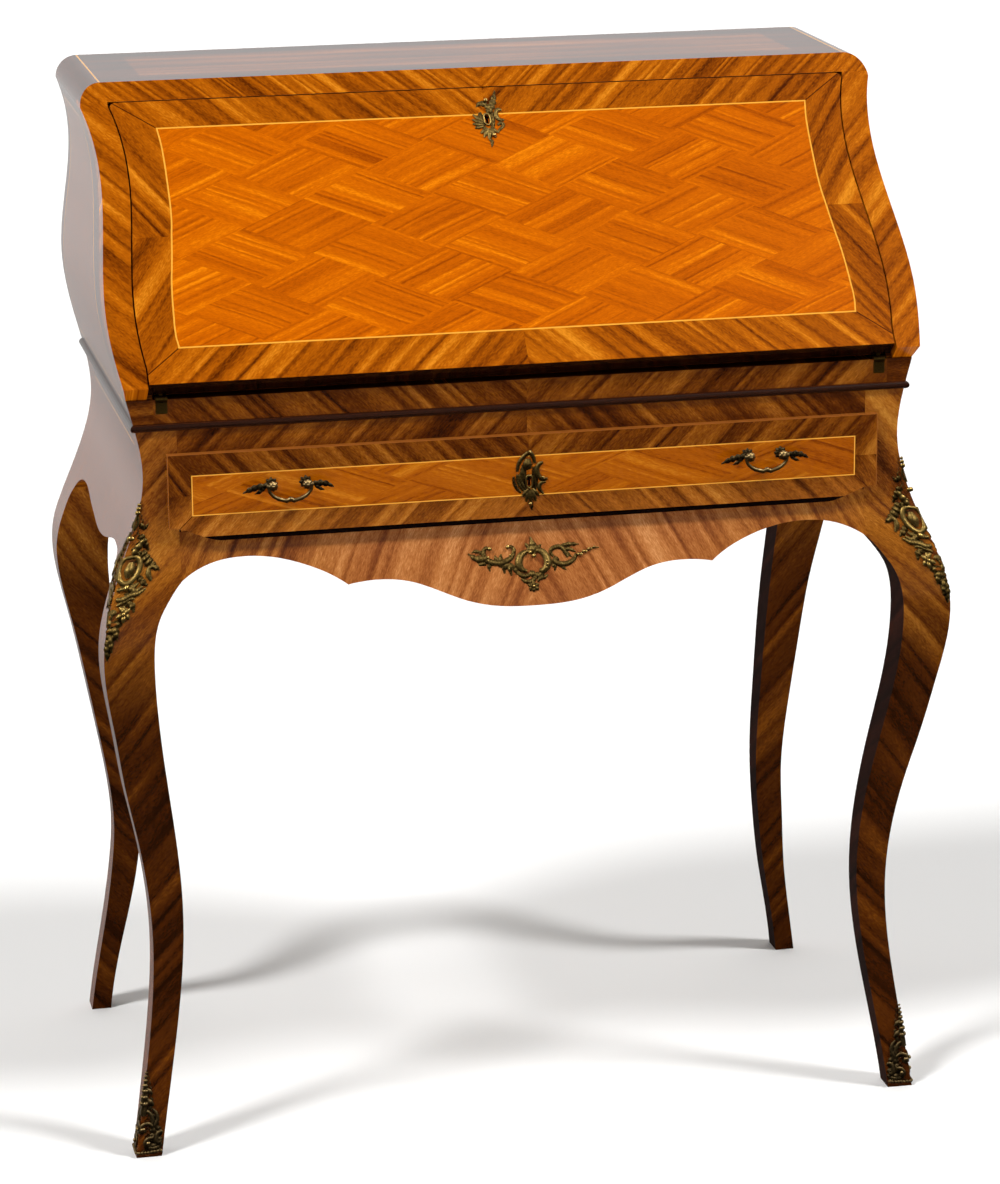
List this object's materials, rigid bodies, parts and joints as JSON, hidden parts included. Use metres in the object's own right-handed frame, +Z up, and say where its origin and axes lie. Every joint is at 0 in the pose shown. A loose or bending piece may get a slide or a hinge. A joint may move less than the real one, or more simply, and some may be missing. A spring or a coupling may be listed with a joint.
{
  "type": "slant-front writing desk",
  "caption": "Slant-front writing desk in parquetry veneer with a folding fall, a nest of small drawers, one long drawer and cabriole legs with gilt mounts.",
  "frame": {"origin": "centre of the footprint, on the floor", "axes": "+X to the desk's right as seen from the front, +Y from the front to the back, +Z up"},
  "size_m": [0.7854, 0.4394, 0.964],
  "materials": {
    "veneered_wood": "french-polished striped veneer",
    "oak": "waxed plain timber",
    "gilt_brass": "aged gilt casting",
    "lock_steel": "dull filed steel",
    "skiver": "waxed leather writing surface"
  },
  "bodies": {
    "desk": {"apron_mount": "gilt_brass", "back_apron": "oak", "back_leg_left": "veneered_wood", "back_leg_right": "veneered_wood", "cheek_left": "veneered_wood", "cheek_right": "veneered_wood", "drawer_guides": "oak", "drawer_rail": "veneered_wood", "foot_mounts": "gilt_brass", "front_apron": "veneered_wood", "front_leg_left": "veneered_wood", "front_leg_right": "veneered_wood", "hinge_rail": "veneered_wood", "knee_mount_left": "gilt_brass", "knee_mount_right": "gilt_brass", "lock_rail": "veneered_wood", "nest_shelf": "veneered_wood", "nest_sides": "veneered_wood", "nest_uprights": "veneered_wood", "rail_hinge_leaves": "gilt_brass", "side_apron_left": "veneered_wood", "side_apron_right": "veneered_wood", "stay_plates": "gilt_brass", "stile_left": "veneered_wood", "stile_right": "veneered_wood", "top_board": "veneered_wood", "upper_back": "oak", "waist_moulding": "veneered_wood", "writing_floor": "veneered_wood"},
    "fall": {"fall_board": "veneered_wood", "fall_leather": "skiver", "fall_lock": "lock_steel", "fall_escutcheon": "gilt_brass", "fall_hinge_leaves": "gilt_brass", "stay_brackets": "gilt_brass"},
    "fall_bolt": {"fall_bolt": "lock_steel"},
    "stay_lower_left": {"stay_lower_left": "gilt_brass"},
    "stay_lower_right": {"stay_lower_right": "gilt_brass"},
    "stay_upper_left": {"stay_upper_left": "gilt_brass"},
    "stay_upper_right": {"stay_upper_right": "gilt_brass"},
    "drawer": {"drawer_front": "veneered_wood", "drawer_sides": "oak", "drawer_back": "oak", "drawer_floor": "oak", "drawer_lock": "lock_steel", "drawer_escutcheon": "gilt_brass", "handle_studs": "gilt_brass"},
    "drawer_bolt": {"drawer_bolt": "lock_steel"},
    "bail_left": {"bail_left": "gilt_brass"},
    "bail_right": {"bail_right": "gilt_brass"},
    "small_drawer_left": {"small_drawer_front_left": "veneered_wood", "small_drawer_box_left": "oak", "small_drawer_knob_left": "gilt_brass"},
    "small_drawer_middle": {"small_drawer_front_middle": "veneered_wood", "small_drawer_box_middle": "oak", "small_drawer_knob_middle": "gilt_brass"},
    "small_drawer_right": {"small_drawer_front_right": "veneered_wood", "small_drawer_box_right": "oak", "small_drawer_knob_right": "gilt_brass"}
  },
  "joints": [
    {"name": "fall_hinge", "type": "hinge", "parent": "desk", "child": "fall", "pos_m": [0, -0.1806, 0.713], "axis": [1, 0, 0], "range_deg": [0, 131.31]},
    {"name": "drawer_slide", "type": "slide", "parent": "desk", "child": "drawer", "axis": [0, -1, 0], "range_m": [0, 0.26]},
    {"name": "stay_lower_left_pivot", "type": "hinge", "parent": "desk", "child": "stay_lower_left", "pos_m": [-0.333, -0.0156, 0.773], "axis": [1, 0, 0], "range_deg": [0, 144.49]},
    {"name": "stay_upper_left_pivot", "type": "hinge", "parent": "stay_lower_left", "child": "stay_upper_left", "pos_m": [-0.33, 0.07367, 0.847], "axis": [1, 0, 0], "range_deg": [-148.64, 0]},
    {"name": "stay_lower_right_pivot", "type": "hinge", "parent": "desk", "child": "stay_lower_right", "pos_m": [0.333, -0.0156, 0.773], "axis": [1, 0, 0], "range_deg": [0, 144.49]},
    {"name": "stay_upper_right_pivot", "type": "hinge", "parent": "stay_lower_right", "child": "stay_upper_right", "pos_m": [0.33, 0.07367, 0.847], "axis": [1, 0, 0], "range_deg": [-148.64, 0]},
    {"name": "fall_bolt_slide", "type": "slide", "parent": "fall", "child": "fall_bolt", "axis": [0, 0.6601, 0.7511], "range_m": [0, 0.006]},
    {"name": "drawer_bolt_slide", "type": "slide", "parent": "drawer", "child": "drawer_bolt", "axis": [0, 0, 1], "range_m": [0, 0.006]},
    {"name": "bail_left_swing", "type": "hinge", "parent": "drawer", "child": "bail_left", "pos_m": [-0.2185, -0.1995, 0.633], "axis": [-1, 0, 0], "range_deg": [-25, 85]},
    {"name": "bail_right_swing", "type": "hinge", "parent": "drawer", "child": "bail_right", "pos_m": [0.2185, -0.1995, 0.633], "axis": [-1, 0, 0], "range_deg": [-25, 85]},
    {"name": "small_drawer_left_slide", "type": "slide", "parent": "desk", "child": "small_drawer_left", "axis": [0, -1, 0], "range_m": [0, 0.1]},
    {"name": "small_drawer_middle_slide", "type": "slide", "parent": "desk", "child": "small_drawer_middle", "axis": [0, -1, 0], "range_m": [0, 0.1]},
    {"name": "small_drawer_right_slide", "type": "slide", "parent": "desk", "child": "small_drawer_right", "axis": [0, -1, 0], "range_m": [0, 0.1]}
  ],
  "couplings": [
    {"joint": "stay_lower_left_pivot", "follows": "fall_hinge", "ratio": 1.1003},
    {"joint": "stay_upper_left_pivot", "follows": "fall_hinge", "ratio": -1.1318},
    {"joint": "stay_lower_right_pivot", "follows": "fall_hinge", "ratio": 1.1003},
    {"joint": "stay_upper_right_pivot", "follows": "fall_hinge", "ratio": -1.1318}
  ]
}
